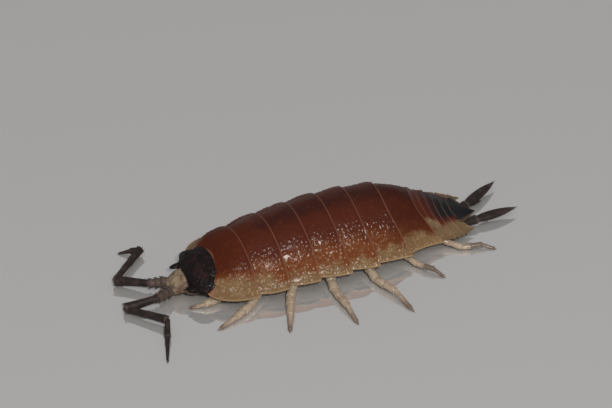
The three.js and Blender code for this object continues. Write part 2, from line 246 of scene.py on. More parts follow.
class Value:
    """A shader socket that can be used in Python sums; each operation adds its Math node."""

    def __init__(self, tree, socket=None):
        self.tree = tree
        self.socket = socket

    def node(self, kind, settings, inputs, output=0):
        """One output of a new node, whose settings are made before its inputs get their values or links."""
        made = self.tree.nodes.new(kind)
        for key, value in settings.items():
            setattr(made, key, value)
        for key, value in inputs.items():
            if isinstance(value, Value):
                self.tree.links.new(value.socket, made.inputs[key])
            else:
                made.inputs[key].default_value = value
        return Value(self.tree, made.outputs[output])

    def math(self, operation, *values):
        return self.node("ShaderNodeMath", {"operation": operation}, dict(enumerate(values)))

    def __add__(self, other):
        return self.math("ADD", self, other)

    def __radd__(self, other):
        return self.math("ADD", other, self)

    def __sub__(self, other):
        return self.math("SUBTRACT", self, other)

    def __rsub__(self, other):
        return self.math("SUBTRACT", other, self)

    def __mul__(self, other):
        return self.math("MULTIPLY", self, other)

    def __rmul__(self, other):
        return self.math("MULTIPLY", other, self)

    def abs(self):
        return self.math("ABSOLUTE", self)

    def larger(self, other):
        return self.math("MAXIMUM", self, other)

    def step(self, low, high):
        """0 below low, 1 above high, eased between."""
        settings = {"interpolation_type": "SMOOTHSTEP"}
        return self.node("ShaderNodeMapRange", settings, {"Value": self, "From Min": low, "From Max": high})

    def tint(self, first, second):
        """Colour first where this value is 0, second where it is 1."""
        return self.node("ShaderNodeMix", {"data_type": "RGBA"}, {0: self, 6: first, 7: second}, 2)


class Finish:
    """A material's shader, and the places on the piece, in millimetres, that its patterns follow."""

    def __init__(self, name, **settings):
        self.material = bpy.data.materials.new(name)
        self.material.use_nodes = True
        self.tree = self.material.node_tree
        self.shader = self.tree.nodes["Principled BSDF"]
        for key, value in settings.items():
            self.shader.inputs[key.replace("_", " ")].default_value = value
        self.start = Value(self.tree)
        metres = self.start.node("ShaderNodeTexCoord", {}, {}, "Object")
        scaled = {0: metres, "Scale": 1 / MM}
        self.place = self.start.node("ShaderNodeVectorMath", {"operation": "SCALE"}, scaled)
        self.x = self.part(self.place, 0) - SHIFT.x / MM
        self.y = self.part(self.place, 1) - SHIFT.y / MM
        self.z = self.part(self.place, 2)
        chart = self.start.node("ShaderNodeTexCoord", {}, {}, "UV")
        self.u = self.part(chart, 0)
        self.v = self.part(chart, 1)

    def part(self, vector, axis):
        return self.start.node("ShaderNodeSeparateXYZ", {}, {0: vector}, axis)

    def noise(self, scale, detail=3.0, rough=0.55, at=None):
        inputs = {"Vector": at or self.place, "Scale": scale, "Detail": detail, "Roughness": rough}
        return self.start.node("ShaderNodeTexNoise", {}, inputs, "Fac")

    def granules(self, scale, core, rim):
        """1 on the round granules and 0 between them; core and rim are shares of their spacing."""
        inputs = {"Vector": self.place, "Scale": scale}
        return 1.0 - self.start.node("ShaderNodeTexVoronoi", {}, inputs, "Distance").step(core, rim)

    def stretched(self, x, y, z):
        factors = {0: self.place, 1: (x, y, z)}
        return self.start.node("ShaderNodeVectorMath", {"operation": "MULTIPLY"}, factors)

    def paint(self, base, roughness=None, height=None, strength=0.5, depth=0.02, coat=None):
        """Links the colour and what else varies to the shader; depth is a bump's height in millimetres."""
        varying = {"Base Color": base, "Roughness": roughness, "Coat Weight": coat}
        if height is not None:
            bump = {"Height": height, "Strength": strength, "Distance": depth * MM}
            varying["Normal"] = self.start.node("ShaderNodeBump", {}, bump)
        for name, value in varying.items():
            if value is not None:
                self.tree.links.new(value.socket, self.shader.inputs[name])
        return self.material


def colour(red, green, blue):
    return (red, green, blue, 1.0)


def put_on(piece, material, slot, *nodes):
    piece.data.materials.clear()
    piece.data.materials.append(material)
    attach(piece, "root")
    if nodes:
        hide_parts(*nodes)


MAROON = colour(0.033, 0.0080, 0.0054)
RED_BROWN = colour(0.058, 0.0120, 0.0054)
ORANGE_BROWN = colour(0.120, 0.035, 0.0105)
CREAM = colour(0.158, 0.096, 0.047)
CREAM_GAP = colour(0.120, 0.068, 0.035)
# Pale cream of the flecks, also used for the painted soft highlight along the plates' side edge
CREAM_FLECK_AND_HIGHLIGHT = colour(0.330, 0.238, 0.135)
PALE_RIM = colour(0.260, 0.115, 0.075)

# Where each band starts and is full, as a share of the way from the ridge to the side edge
RED_BAND = (0.0, 0.32)
ORANGE_BAND = (0.50, 0.76)
LOBE_BAND = (0.80, 0.92)
FLECK_BAND = (0.66, 0.84)
# The side edge's band is partly the shell's own pale margin and partly a painted soft highlight on its
# glossy rim
EDGE_AND_HIGHLIGHT_BAND = (0.965, 0.99)
# Stretches of the body in millimetres along it
FRONT_PLATES = (-6.6, -3.4)
REAR_PLATES = (0.5, 4.5)
NAPE = (-7.2, -6.9)
POLISH_RISE = (-7.2, -4.0)
POLISH_FALL = (2.0, 4.4)


def trunk_finish():
    finish = Finish("trunk_shell", Coat_Roughness=0.2, Specular_IOR_Level=0.03)
    side = (finish.v * 2.0 - 1.0).abs()
    wobble = finish.noise(1.1, 4.0) - 0.5
    fine = finish.noise(5.0, 5.0, 0.7) - 0.5
    streak = finish.noise(1.0, 4.0, 0.6, at=finish.stretched(1.0, 3.2, 3.2)) - 0.5
    forward = 1.0 - finish.x.step(*FRONT_PLATES)
    rearward = finish.x.step(*REAR_PLATES)
    tongue = (finish.u.step(0.55, 0.9) + (1.0 - finish.u.step(0.0, 0.2))) * 0.05
    level = side + wobble * 0.2 + fine * 0.12 - tongue - rearward * 0.06

    back = (level + forward * 0.3).step(*RED_BAND).tint(MAROON, RED_BROWN)
    flank = (level + streak * 0.22).step(*ORANGE_BAND).tint(back, ORANGE_BROWN)
    flank = (rearward * 0.5).tint(flank, MAROON)
    lobe = (level + streak * 0.26 + forward * 0.16 + rearward * 0.13).step(*LOBE_BAND)
    granule = finish.granules(5.9, 0.10, 0.45)
    gaps = (1.0 - granule) * finish.noise(1.7, 3.0).step(0.35, 0.62)
    lobe_tone = (gaps * 0.55).tint(CREAM, CREAM_GAP)
    # The side edge is made lighter: partly its own pale margin, partly a painted soft highlight on the
    # glossy rim
    lobe_tone = (side.step(*EDGE_AND_HIGHLIGHT_BAND) * 0.4).tint(lobe_tone, CREAM_FLECK_AND_HIGHLIGHT)
    shell = lobe.tint(flank, lobe_tone)

    fleck = granule * finish.noise(2.2, 3.0).step(0.38, 0.60) * (level + forward * 0.08).step(*FLECK_BAND)
    shell = (fleck * 0.7).tint(shell, CREAM_FLECK_AND_HIGHLIGHT)
    mottle = finish.noise(3.4, 5.0, 0.7).step(0.52, 0.72) * (1.0 - lobe)
    shell = (mottle * 0.3).tint(shell, ORANGE_BROWN)
    rim = finish.u.step(0.955, 0.98) * (1.0 - side.step(0.9, 0.98))
    shell = (rim * 0.32).tint(shell, PALE_RIM)
    collar = (1.0 - finish.u.step(0.02, 0.10)) * (1.0 - finish.x.step(*NAPE))
    shell = (collar * 0.6).tint(shell, PALE_RIM)

    rough = 0.36 + finish.noise(9.0, 3.0) * 0.16
    wrinkle = finish.noise(6.0, 2.0, at=finish.stretched(3.0, 0.8, 0.8))
    polish = finish.x.step(*POLISH_RISE) * (1.0 - finish.x.step(*POLISH_FALL))
    return finish.paint(shell, rough, granule * 0.45 + wrinkle * 0.8, 0.55, coat=0.08 + polish * 0.14)


def front_margin(y):
    """The first plate's front edge, whose right corner is drawn back where the body bends to the left."""
    reach = FRONT_REACH["left"] if y < 0 else FRONT_REACH["right"]
    return HEAD_HIND - reach * abs(y / FRONT_CORNER["half_width"]) ** FRONT_POWER


TRUNK_SHELL = trunk_finish()

trunk_rows = []
hind = HEAD_HIND
for i, length in enumerate(PLATE_LENGTHS):
    hind += length
    sizes_here = PLATE_HALF_WIDTHS[i], PLATE_SETBACKS[i], PLATE_EDGES[i], PLATE_RIDGES[i]
    trunk_rows.append(plate_row(hind, *sizes_here))
trunk_rows[0]["round"] = True

for i, row in enumerate(trunk_rows):
    front = dict(FRONT_CORNER, margin=front_margin)
    if i > 0:
        front = front_of(trunk_rows[i - 1], CORNER_STEP, RIDGE_STEP)
    plate = shell_plate(f"trunk_shell_{i + 1}", row, front, TRUNK_GRID)
    put_on(plate, TRUNK_SHELL, "trunk_shell", f"trunk_plate_{i + 1}")

# Tail plates and telson
# Five short plates close the body, and the telson, a pointed shield, ends it. All are thin, hard shell,
# blue-black with tan sides. The first two plates tuck under the trunk, and the last three have side lobes
# that point back.

TAIL_LENGTH = 0.47
TAIL_SPANS = [0.74, 0.8, 1, 1, 1]
TAIL_HALF_WIDTHS = [2.4, 2.4, 2.26, 1.97, 1.52]
TAIL_SETBACKS = [1.3, 1.12, 0.98, 1.14, 1.36]
TAIL_EDGES = [0.52, 0.5, 0.38, 0.32, 0.28]
TAIL_RIDGES = [2.2, 1.95, 1.7, 1.45, 1.2]
TAIL_STEP = 0.06
# Where the third plate's front margin crosses from the second plate's to the trunk's, out from the middle
CROSSING = (0.55, 0.85)
TAIL_GRID = (18, 150)
TAIL_GRANULES = 0.6

BLUE_BLACK = colour(0.0085, 0.0092, 0.0105)
TAIL_BROWN = colour(0.062, 0.0140, 0.0080)
TAN = colour(0.128, 0.084, 0.045)
TAN_RIM = colour(0.170, 0.105, 0.066)
BROWN_BAND = (0.44, 0.64)
TAN_BAND = (0.60, 0.74)
TAIL_STRETCH = (4.9, 6.6)


def tail_finish():
    finish = Finish("tail_shell", Coat_Weight=0.1, Coat_Roughness=0.12, Specular_IOR_Level=0.04)
    along = finish.x.step(*TAIL_STRETCH)
    level = (finish.v * 2.0 - 1.0).abs() + (finish.noise(1.6, 4.0) - 0.5) * 0.14
    centre = along.tint(TAIL_BROWN, BLUE_BLACK)
    brown = level.step(*BROWN_BAND).tint(centre, TAIL_BROWN)
    granule = finish.granules(7.0, 0.10, 0.42)
    speckle = (granule * finish.noise(2.2, 3.0).step(0.4, 0.6) * 0.5).tint(TAN, CREAM_FLECK_AND_HIGHLIGHT)
    speckle = (finish.noise(1.9, 4.0).step(0.45, 0.7) * 0.6).tint(speckle, CREAM_GAP)
    shell = (level - (1.0 - along) * 0.14).step(*TAN_BAND).tint(brown, speckle)
    rim = finish.u.step(0.84, 0.94)
    shell = (rim * 0.28).tint(shell, TAN_RIM)
    rough = 0.32 + finish.noise(9.0, 3.0) * 0.14
    return finish.paint(shell, rough, granule * 0.5 + finish.noise(22.0, 3.0) * 0.5)


TAIL_SHELL = tail_finish()

tail_rows = []
for i, span in enumerate(TAIL_SPANS):
    sizes_here = TAIL_HALF_WIDTHS[i], TAIL_SETBACKS[i], TAIL_EDGES[i], TAIL_RIDGES[i]
    tail_rows.append(plate_row(hind + (i + 1) * TAIL_LENGTH, *sizes_here, span))

for i, row in enumerate(tail_rows):
    before = trunk_rows[-1] if i == 0 else tail_rows[i - 1]
    front = front_of(before, TAIL_STEP, TAIL_STEP)
    if i == 2:
        inner, outer, reach = tail_rows[1]["margin"], trunk_rows[-1]["margin"], before["half_width"]
        front["margin"] = lambda y: mix(inner(y), outer(y), ease(*CROSSING, abs(y / reach)))
    plate = shell_plate(f"tail_shell_{i + 1}", row, front, TAIL_GRID, TAIL_GRANULES)
    put_on(plate, TAIL_SHELL, "tail_shell", f"tail_plate_{i + 1}")

# The heights of the telson's front end and of its tip, and the share of it that is tucked in
TELSON = {"length": 1.62, "half_width": 1.14, "front": 1.14, "tip": 0.46, "tuck": 0.12}
TELSON_TAPER = {"power": 1.15, "tip": 0.04}
TELSON_FALL = 0.8
TELSON_SIDES = {"drop": 0.36, "power": 0.7}
TELSON_GROOVE = {"depth": 0.05, "width": 0.3, "start": (0.1, 0.4)}
TELSON_GRAIN = 0.012

bpy.ops.mesh.primitive_grid_add(x_subdivisions=40, y_subdivisions=40, size=2)
telson = bpy.context.object
telson.name = "telson_shell"
start_margin = tail_rows[-1]["margin"]
telson_end = tail_rows[-1]["hind"] + TELSON["length"]
for vertex in telson.data.vertices:
    a = vertex.co.y
    share = (vertex.co.x + 1) / 2 * (1 + TELSON["tuck"]) - TELSON["tuck"]
    t = max(0.0, share)
    half = TELSON["half_width"] * (1 - t) ** TELSON_TAPER["power"] + TELSON_TAPER["tip"]
    x = mix(start_margin(a * TELSON["half_width"]), telson_end, share)
    z = mix(TELSON["front"], TELSON["tip"], t**TELSON_FALL)
    z -= TELSON_SIDES["drop"] * a * a * (1 - t) ** TELSON_SIDES["power"]
    groove = bell(a, 0, TELSON_GROOVE["width"]) * ease(*TELSON_GROOVE["start"], t) * (1 - t)
    z -= TELSON_GROOVE["depth"] * groove
    z += TELSON_GRAIN * grain(place(x, a * half, 1) / MM, GRANULE["spacing"])
    vertex.co = place(x, a * half, z)
apply_modifier(telson, "SOLIDIFY", thickness=SHELL_THICKNESS * MM, offset=-1.0)
smooth(telson, SHELL_SMOOTHING)


def telson_finish():
    finish = Finish("telson_shell", Coat_Weight=0.1, Coat_Roughness=0.12, Specular_IOR_Level=0.04)
    rim = (finish.v * 2.0 - 1.0).abs().step(0.8, 1.0)
    shell = (rim * 0.4).tint(BLUE_BLACK, TAN_RIM)
    rough = 0.32 + finish.noise(9.0, 3.0) * 0.14
    height = finish.granules(7.0, 0.10, 0.42) * 0.5 + finish.noise(22.0, 3.0) * 0.5
    return finish.paint(shell, rough, height)


put_on(telson, telson_finish(), "tail_shell", "telson")

# Belly
# Under the plates the belly is one soft, pale skin, grooved between the segments. It hangs from the plates
# and closes the body from the head to the tail, and the legs grow out of it.

BELLY = {"front": -8.2, "back": 7.1, "thickness": 0.1}
BELLY_TROUGH = {"height": 0.84, "recess": 1.06, "inner": 1.15, "outer": 1.75}
TAIL_TROUGH = {"height": 0.55, "from": 5.2, "to": 6.6}
BELLY_WIDTH_SHARE = 0.84
BELLY_RISE = 0.2
BELLY_SIDES_FROM = 0.72
FURROW = {"depth": 0.07, "width": 0.12, "before_hind": 0.4}
# Under the head: the place along the body, the half width and the height of the sides
HEAD_STATIONS = [(-8.3, 1.3, 0.95), (HEAD_HIND, 1.8, 1.0)]

bpy.ops.mesh.primitive_grid_add(x_subdivisions=150, y_subdivisions=60, size=2)
belly = bpy.context.object
belly.name = "belly_skin"
stations = list(HEAD_STATIONS)
for row in trunk_rows + tail_rows:
    stations.append((row["hind"], row["half_width"] * BELLY_WIDTH_SHARE, row["edge"] + BELLY_RISE))


def station_at(x):
    """The belly's half width and the height of its sides at a place along the body."""
    for (x0, w0, e0), (x1, w1, e1) in zip(stations, stations[1:]):
        if x <= x1:
            share = max(0.0, (x - x0) / (x1 - x0))
            return mix(w0, w1, share), mix(e0, e1, share)
    return stations[-1][1:]


for vertex in belly.data.vertices:
    x = mix(BELLY["front"], BELLY["back"], (vertex.co.x + 1) / 2)
    a = vertex.co.y
    half, edge = station_at(x)
    y = a * half
    recess = ease(BELLY_TROUGH["inner"], BELLY_TROUGH["outer"], abs(y))
    trough = mix(BELLY_TROUGH["height"], BELLY_TROUGH["recess"], recess)
    trough = mix(trough, TAIL_TROUGH["height"], ease(TAIL_TROUGH["from"], TAIL_TROUGH["to"], x))
    z = mix(trough, edge, ease(BELLY_SIDES_FROM, 1.0, abs(a)))
    to_furrow = min(abs(x - row["hind"] + FURROW["before_hind"]) for row in trunk_rows)
    z += FURROW["depth"] * bell(to_furrow, 0, FURROW["width"])
    vertex.co = place(x, y, z)
apply_modifier(belly, "SOLIDIFY", thickness=BELLY["thickness"] * MM, offset=1.0)
smooth(belly)

BELLY_SKIN = colour(0.34, 0.27, 0.19)
BELLY_SHADE = colour(0.21, 0.15, 0.10)


def belly_finish():
    finish = Finish("belly_skin", Roughness=0.5)
    shade = finish.noise(1.8, 4.0).step(0.35, 0.7)
    return finish.paint(shade.tint(BELLY_SKIN, BELLY_SHADE), None, finish.noise(14.0, 4.0), 0.4, 0.03)


put_on(belly, belly_finish(), "gill_cover")

# Head
# The head is a broad, short capsule of hard shell set into the first plate. Its top is almost black and
# finely granular; the face under the brow is cream. Small lobes stand at the brow's middle and corners.

SKULL = {"centre": (-8.3, 0, 1.06), "radii": (0.97, 1.76, 0.9)}
NECK = {"centre": (-7.75, 0, 1.1), "radii": (1.0, 1.6, 0.98)}
FACE = {"centre": (-9.35, 0, 0.82), "radii": (0.92, 0.86, 0.46), "tilt": 22}
MOUTH = {"centre": (-8.95, 0, 0.52), "radii": (0.95, 0.72, 0.3)}
CHEEK = {"centre": (-8.72, 0.72, 0.6), "radii": (0.78, 0.44, 0.32)}
SIDE_LOBE = {"centre": (-9.0, 1.14, 0.97), "radii": (0.5, 0.2, 0.12), "tilt": 4}
MIDDLE_LOBE = {"centre": (-8.95, 0, 1.12), "radii": (0.36, 0.5, 0.16), "tilt": 10}
HEAD_VOXEL = 0.03
HEAD_GRAIN = {"spacing": 0.2, "height": 0.045}
FACE_GRAIN = {"spacing": 0.16, "height": 0.02}
FACE_FURROWS = {"upper": 0.86, "lower": 0.58, "width": 0.05, "depth": 0.06, "lower_share": 0.8}
FACE_KEEL = {"height": 0.05, "width": 0.12, "from": (0.9, 1.1)}
# How high and how far back the crown's granules start, and how far forward and aside the face's reach
CROWN_HEIGHTS = (0.6, 0.9)
CROWN_START = (-9.3, -9.1)
FACE_START = (-9.3, -9.6)
FACE_END = (0.6, 0.8)


def egg(centre, radii, tilt=0, side=1, segments=48):
    """A rounded lump; tilt turns its front end down, and side -1 puts it on the left."""
    bpy.ops.mesh.primitive_uv_sphere_add(segments=segments, ring_count=segments // 2, radius=1)
    piece = bpy.context.object
    turn = Matrix.Rotation(math.radians(-tilt), 4, "Y")
    size = Matrix.Diagonal((*[r * MM for r in radii], 1))
    spot = place(centre[0], side * centre[1], centre[2])
    piece.data.transform(Matrix.Translation(spot) @ turn @ size)
    return piece


def joined(name, pieces):
    """The pieces made one, under its name."""
    select_only(*pieces)
    bpy.ops.object.join()
    whole = bpy.context.object
    whole.name = name
    return whole


parts = [egg(**SKULL, segments=96), egg(**NECK, segments=96), egg(**FACE), egg(**MOUTH), egg(**MIDDLE_LOBE)]
parts += [egg(**shape, side=side) for shape in (SIDE_LOBE, CHEEK) for side in (-1, 1)]
head = joined("head_skin", parts)
apply_modifier(head, "REMESH", mode="VOXEL", voxel_size=HEAD_VOXEL * MM)
apply_modifier(head, "SMOOTH", factor=0.5, iterations=4)
normals = [v.normal.copy() for v in head.data.vertices]
for vertex, normal in zip(head.data.vertices, normals):
    at = vertex.co / MM
    local = at - SHIFT / MM
    across = local.y + BODY_BEND["front"] * local.x**2
    crown = ease(*CROWN_HEIGHTS, local.z) * ease(*CROWN_START, local.x)
    front = ease(*FACE_START, local.x) * (1 - ease(*FACE_END, abs(across)))
    furrows = bell(local.z, FACE_FURROWS["upper"], FACE_FURROWS["width"])
    furrows += FACE_FURROWS["lower_share"] * bell(local.z, FACE_FURROWS["lower"], FACE_FURROWS["width"])
    keel = FACE_KEEL["height"] * bell(across, 0, FACE_KEEL["width"]) * ease(*FACE_KEEL["from"], local.z)
    face_grain = FACE_GRAIN["height"] * grain(at, FACE_GRAIN["spacing"])
    face_lift = (keel - FACE_FURROWS["depth"] * furrows + face_grain) * front
    crown_lift = HEAD_GRAIN["height"] * grain(at, HEAD_GRAIN["spacing"]) * crown
    vertex.co += normal * (crown_lift + face_lift) * MM
smooth(head)

HEAD_BLACK = colour(0.008, 0.0065, 0.0065)
HEAD_PLUM = colour(0.026, 0.011, 0.012)
FACE_CREAM = colour(0.215, 0.162, 0.108)
FACE_SHADE = colour(0.085, 0.055, 0.040)
# Where the crown's black and the face's shade start and are full, in millimetres
BROW_LINE = (-9.22, -9.12)
CHEEK_LINE = (0.46, 0.56)
LOBE_SIDES = (0.78, 0.86)
LOBE_HEIGHTS = (0.74, 0.80)
JAW_HEIGHTS = (0.44, 0.60)
JAW_REACH = (-9.4, -9.0)
FACE_SIDES = (0.50, 0.66)


def head_finish():
    finish = Finish("head_shell", Coat_Weight=0.06, Coat_Roughness=0.22, Specular_IOR_Level=0.05)
    x = finish.x
    across = (finish.y + x * x * BODY_BEND["front"]).abs()
    top = finish.noise(2.4, 4.0).step(0.45, 0.75).tint(HEAD_BLACK, HEAD_PLUM)
    granule = finish.granules(7.5, 0.10, 0.45)
    top = (granule * 0.25).tint(top, HEAD_PLUM)
    jaw = (1.0 - finish.z.step(*JAW_HEIGHTS)) * x.step(*JAW_REACH)
    face = finish.noise(2.8, 4.0).step(0.45, 0.75).tint(FACE_CREAM, FACE_SHADE)
    face = (jaw.larger(across.step(*FACE_SIDES)) * 0.85).tint(face, FACE_SHADE)
    cheek = (finish.z + (x + 8.6) * 0.2).step(*CHEEK_LINE)
    lobes = across.step(*LOBE_SIDES) * finish.z.step(*LOBE_HEIGHTS)
    crown = (x + finish.noise(3.0, 2.0) * 0.12).step(*BROW_LINE) * cheek
    skin = crown.larger(lobes).tint(face, top)
    rough = 0.42 + finish.noise(9.0, 3.0) * 0.15
    return finish.paint(skin, rough, granule * 0.8 + finish.noise(24.0, 3.0) * 0.4, 0.6)


put_on(head, head_finish(), "head_shell", "head")

# Eyes
# Each compound eye is a low, oval mound of many small, black, glassy beads, set into the side of the head
# behind the brow's corner.

EYE_SEAT = (-8.36, 1.57, 1.15)
EYE_RADII = (0.34, 0.14, 0.27)
# A bead's size, the spacing of the columns and rows, and the oval that a bead's centre may lie in
BEAD = {"radius": 0.04, "column": 0.075, "row": 0.066}
BEAD_FIELD = (0.32, 0.25)
FIELD_SHARE = 0.9
EYE_BLACK = colour(0.004, 0.004, 0.005)
EYE_GREY = colour(0.015, 0.012, 0.016)


def eye_finish():
    finish = Finish("eye_beads", Coat_Weight=0.8, Coat_Roughness=0.05, Roughness=0.2)
    return finish.paint(finish.noise(6.0, 2.0).step(0.4, 0.7).tint(EYE_BLACK, EYE_GREY))


EYE_BEADS = eye_finish()
for side, name in ((-1, "left"), (1, "right")):
    centre = place(EYE_SEAT[0], side * EYE_SEAT[1], EYE_SEAT[2])
    beads = [egg(EYE_SEAT, EYE_RADII, 0, side, 32)]
    for row in range(-3, 4):
        for column in range(-4, 5):
            east = (column + 0.5 * (row % 2)) * BEAD["column"]
            north = row * BEAD["row"]
            if (east / BEAD_FIELD[0]) ** 2 + (north / BEAD_FIELD[1]) ** 2 > FIELD_SHARE:
                continue
            share = 1 - (east / EYE_RADII[0]) ** 2 - (north / EYE_RADII[2]) ** 2
            out = math.sqrt(max(0.0, share)) * EYE_RADII[1]
            bpy.ops.mesh.primitive_ico_sphere_add(subdivisions=2, radius=BEAD["radius"] * MM)
            bead = bpy.context.object
            bead.data.transform(Matrix.Translation(centre + Vector((east, side * out, north)) * MM))
            beads.append(bead)
    eye = joined(f"eye_{name}_beads", beads)
    smooth(eye)
    put_on(eye, EYE_BEADS, "eye", f"eye_{name}")

# Feelers
# Each long feeler has a thick three-part base, two long lengths and a thin two-part whip. The lengths are
# dark brown, ridged and hairy shell, and each swells to a collar set with spines where the next begins.

# The joints from the socket on the face to the base's end, the elbow, the knee and the whip's tip
FEELERS = {
    "left": [
        (-10.15, -0.86, 0.58),
        (-10.95, -1.12, 0.52),
        (-12.86, -1.04, 0.33),
        (-11.06, -2.98, 0.45),
        (-12.1, -5.8, 0.05),
    ],
    "right": [
        (-10.15, -0.06, 0.6),
        (-10.95, 0.24, 0.54),
        (-12.58, 1.42, 0.38),
        (-10.36, 3.46, 0.4),
        (-11.5, 3.98, 0.05),
    ],
}
FEELER_PARTS = ["base", "fourth", "fifth", "flagellum"]
# Each base length's start and end on the way from the socket to the base's end, and its radii
BASE_LENGTHS = [(-0.18, 0.22, (0.34, 0.36)), (0.24, 0.6, (0.3, 0.32)), (0.58, 1.0, (0.27, 0.29))]
FOURTH_RADII = (0.245, 0.28)
FIFTH_RADII = (0.21, 0.23)
WHIP_RADII = [(0.17, 0.18), (0.17, 0.05)]
WHIP_JOINT = 0.42
# Lengthwise ridges, and how high they stand as a share of the radius
RIDGE_COUNT = 6
BASE_RIDGES = 0.03
LENGTH_RIDGES = 0.05
# The spines of a collar, which stand at the far end of a length, and the hairs scattered over one
BASE_SPINES = {"count": 7, "length": 0.15}
LENGTH_SPINES = {"count": 9, "length": 0.17}
WHIP_SPINES = {"count": 7, "length": 0.12}
LENGTH_HAIRS = {"count": 46, "length": 0.12, "thickness": 0.012}
WHIP_HAIRS = {"count": 50, "length": 0.12, "thickness": 0.01}
WHIP_HAIR_RADII = (0.15, 0.05)
TIP_BRISTLE = {"length": 0.16, "thickness": 0.025}
TIP_INSET = 0.02
COLLAR_AT = 0.97
COLLAR_LEAN = 0.45
HAIR_LEAN = 0.5
HAIR_STRETCH = (0.08, 0.98)
HAIR_LENGTHS = (0.7, 1.2)
# Shares of a length's radius: where spines are rooted, and how thick a collar's are
SPINE_ROOT = 0.9
SPINE_THICKNESS = 0.14
# Places in a finish's V that tell the parts of a limb apart, at a length's near end and its far end
BASE_SHADE = (0.1, 0.1)
LENGTH_SHADE = (0.5, 0.5)
WHIP_SHADE = (0.8, 0.8)
TIP_SHADE = (0.9, 0.9)
FLOOR_CLEARANCE = 0.005
LIMB_SMOOTHING = 50
SIDES_OF_ROD = 18
# Height and radius of each ring of a rod of height 1 and radius 1
FEELER_RINGS = [
    (-0.03, 0.45), (0.0, 0.78), (0.04, 0.86), (0.2, 0.84), (0.4, 0.88), (0.6, 0.93), (0.8, 0.98),
    (0.9, 1.02), (0.95, 1.08), (0.985, 1.04), (1.0, 0.8), (1.01, 0.4),
]


def rod_template(name, rings):
    """One limb length standing on Z from 0 to 1 with radius 1, drawn ring by ring from its lower end."""
    low, radius = rings[0]
    bpy.ops.mesh.primitive_circle_add(
        vertices=SIDES_OF_ROD, radius=radius, fill_type="NGON", location=(0, 0, low)
    )
    rod = bpy.context.object
    rod.name = name
    select_only(rod)
    bpy.ops.object.mode_set(mode="EDIT")
    bpy.ops.mesh.select_all(action="SELECT")
    for (low, before), (high, after) in zip(rings, rings[1:]):
        bpy.ops.mesh.extrude_region_move(TRANSFORM_OT_translate={"value": (0, 0, high - low)})
        share = after / before
        bpy.ops.transform.resize(value=(share, share, 1), center_override=(0, 0, 0))
    bpy.ops.mesh.select_all(action="SELECT")
    bpy.ops.mesh.normals_make_consistent(inside=False)
    bpy.ops.object.mode_set(mode="OBJECT")
    bpy.ops.object.transform_apply(location=True)
    return rod


feeler_rod = rod_template("feeler_rod", FEELER_RINGS)
bpy.ops.mesh.primitive_cone_add(vertices=5, radius1=1, radius2=0.05, depth=1, location=(0, 0, 0.5))
spine_template = bpy.context.object
spine_template.name = "spine"
select_only(spine_template)
bpy.ops.object.transform_apply(location=True)


def standing_on(start, end):
    """The turn and shift that lays a rod's Z axis from start to end, its Y axis kept upward."""
    along = (end - start).normalized()
    across = along.cross(Vector((0, 0, 1))).normalized()
    up = across.cross(along)
    turn = Matrix((across, up, along)).transposed().to_4x4()
    return Matrix.Translation(start) @ turn


def copy_of(template):
    """A copy with its own mesh, and the map on which its shade is marked."""
    piece = template.copy()
    piece.data = template.data.copy()
    bpy.context.scene.collection.objects.link(piece)
    return piece, piece.data.uv_layers[0]


def limb_length(template, start, end, radii, shade, flat=1.0, ridges=0.0):
    """One length of a limb between two joints, with its radii, in millimetres, at the two."""
    piece, chart = copy_of(template)
    heights = [v.co.z for v in piece.data.vertices]
    for loop in piece.data.loops:
        height = heights[loop.vertex_index]
        chart.data[loop.index].uv = (height, mix(*shade, height))
    reach = (end - start).length
    for vertex in piece.data.vertices:
        x, y, z = vertex.co
        ridge = 1 + ridges * math.cos(RIDGE_COUNT * math.atan2(y, x))
        radius = mix(*radii, min(1, max(0, z))) * ridge * MM
        vertex.co = Vector((x * radius, y * radius * flat, z * reach))
    piece.data.transform(standing_on(start, end))
    return piece


def spine(start, way, length, thickness, shade):
    """A spine, sized in millimetres and coloured like the far end of the length that it stands on."""
    piece, chart = copy_of(spine_template)
    for loop in piece.data.loops:
        chart.data[loop.index].uv = (0.5, shade[1])
    size = Matrix.Diagonal((thickness * MM, thickness * MM, length * MM, 1))
    piece.data.transform(standing_on(start, start + way) @ size)
    return piece


def leaning(start, end, share, turn, radius, lean):
    """A spot on a limb's side, and the way that a spine there leans towards the limb's tip."""
    lay = standing_on(start, end)
    east, north = math.cos(turn), math.sin(turn)
    out = radius * SPINE_ROOT * MM
    root = lay @ Vector((east * out, north * out, share * (end - start).length))
    way = lay.to_3x3() @ Vector((east * lean, north * lean, 1.0))
    return root, way.normalized()


def hairs(start, end, radii, kind, shade):
    """Short hairs that lean towards a limb's tip, scattered over one length of it."""
    made = []
    for _ in range(kind["count"]):
        share = luck.uniform(*HAIR_STRETCH)
        turn = luck.uniform(0, 2 * math.pi)
        root, way = leaning(start, end, share, turn, mix(*radii, share), HAIR_LEAN)
        length = kind["length"] * luck.uniform(*HAIR_LENGTHS)
        made.append(spine(root, way, length, kind["thickness"], shade))
    return made


def collar(start, end, radius, kind, shade):
    """A crown of short spines round the far end of a limb's length."""
    made = []
    for k in range(kind["count"]):
        turn = 2 * math.pi * (k + 0.3) / kind["count"]
        root, way = leaning(start, end, COLLAR_AT, turn, radius, COLLAR_LEAN)
        made.append(spine(root, way, kind["length"], radius * SPINE_THICKNESS, shade))
    return made


def limb(name, pieces):
    """The lengths, spines and hairs of a limb made one, and kept just clear of the floor."""
    whole = joined(name, pieces)
    for vertex in whole.data.vertices:
        vertex.co.z = max(vertex.co.z, FLOOR_CLEARANCE * MM)
    smooth(whole, LIMB_SMOOTHING)
    return whole


FEELER_BROWN = colour(0.017, 0.0125, 0.0110)
FEELER_PLUM = colour(0.035, 0.0240, 0.0225)
FEELER_PALE = colour(0.115, 0.082, 0.070)


